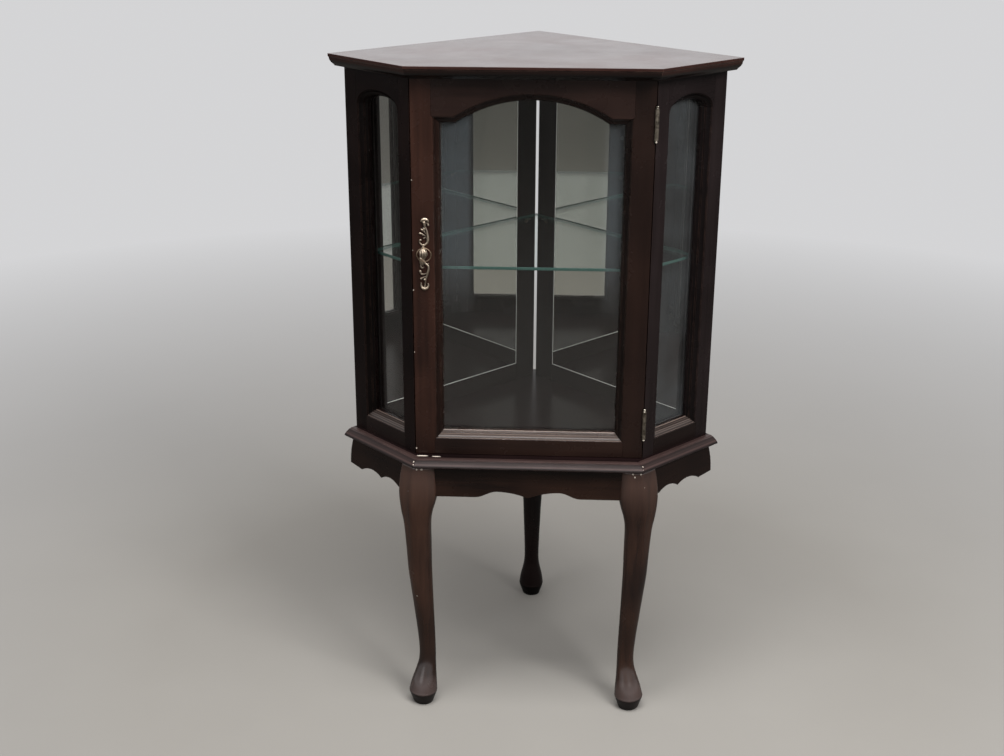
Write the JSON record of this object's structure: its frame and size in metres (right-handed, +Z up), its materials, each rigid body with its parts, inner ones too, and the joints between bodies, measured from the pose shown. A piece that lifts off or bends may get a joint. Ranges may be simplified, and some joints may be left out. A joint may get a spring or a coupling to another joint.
{
  "type": "corner curio cabinet",
  "caption": "Corner display cabinet: glazed five-sided case with an arched glass door, side windows, mirrored back and a glass shelf, on a scalloped stand with cabriole legs.",
  "frame": {"origin": "on the floor, under the centre of the cabinet's bounding box", "axes": "+Z up, +X to the right seen from the front, -Y towards the viewer (the door faces -Y), the room corner at +Y"},
  "size_m": [0.644, 0.454, 1.097],
  "materials": {
    "dark_wood": "satin lacquer, dark cherry",
    "back_wood": "stained, unpolished",
    "clear_glass": "clear float glass with green edges",
    "silvered_mirror": "silvered glass",
    "aged_brass": "antiqued, dark in the hollows",
    "zinc_steel": "zinc plated",
    "dark_vinyl": "soft matte",
    "brown_plastic": "moulded"
  },
  "bodies": {
    "cabinet": {"top_board": "dark_wood", "base_board": "dark_wood", "right_front_stile": "dark_wood", "left_front_stile": "dark_wood", "right_rear_stile": "dark_wood", "left_rear_stile": "dark_wood", "right_side_top_rail": "dark_wood", "left_side_top_rail": "dark_wood", "right_side_bottom_rail": "dark_wood", "left_side_bottom_rail": "dark_wood", "right_side_glass": "clear_glass", "left_side_glass": "clear_glass", "right_side_glass_retainer": "dark_vinyl", "left_side_glass_retainer": "dark_vinyl", "right_front_shelf_pin": "aged_brass", "left_front_shelf_pin": "aged_brass", "right_rear_shelf_pin": "aged_brass", "left_rear_shelf_pin": "aged_brass", "right_back_panel": "back_wood", "left_back_panel": "back_wood", "right_mirror": "silvered_mirror", "left_mirror": "silvered_mirror", "right_corner_strip": "dark_wood", "left_corner_strip": "dark_wood", "right_bottom_strip": "dark_wood", "left_bottom_strip": "dark_wood", "door_header": "dark_wood", "magnetic_catch": "brown_plastic", "front_waist_moulding": "dark_wood", "right_waist_moulding": "dark_wood", "left_waist_moulding": "dark_wood", "right_front_leg": "dark_wood", "left_front_leg": "dark_wood", "back_leg": "dark_wood", "front_apron": "dark_wood", "right_apron": "dark_wood", "left_apron": "dark_wood", "right_back_rail": "back_wood", "left_back_rail": "back_wood", "right_corner_block": "back_wood", "left_corner_block": "back_wood", "upper_hinge_frame_leaf": "aged_brass", "upper_hinge_pin": "aged_brass", "lower_hinge_frame_leaf": "aged_brass", "lower_hinge_pin": "aged_brass"},
    "door": {"door_pull_stile": "dark_wood", "door_hinge_stile": "dark_wood", "door_top_rail": "dark_wood", "door_bottom_rail": "dark_wood", "door_glass": "clear_glass", "door_glass_retainer": "dark_vinyl", "strike_plate": "zinc_steel", "upper_hinge_door_leaf": "aged_brass", "lower_hinge_door_leaf": "aged_brass", "pull_scroll_plate": "aged_brass", "pull_bud": "aged_brass", "pull_ring": "aged_brass", "lower_pull_screw": "zinc_steel", "upper_pull_screw": "zinc_steel"},
    "shelf": {"glass_shelf": "clear_glass"}
  },
  "joints": [
    {"name": "door_hinge", "type": "hinge", "parent": "cabinet", "child": "door", "pos_m": [0.18657, -0.18889, 0.7655], "axis": [0, 0, 1], "range_deg": [0, 150]},
    {"name": "shelf_lift", "type": "slide", "parent": "cabinet", "child": "shelf", "axis": [0, 0, 1], "range_m": [0, 0.02]}
  ]
}
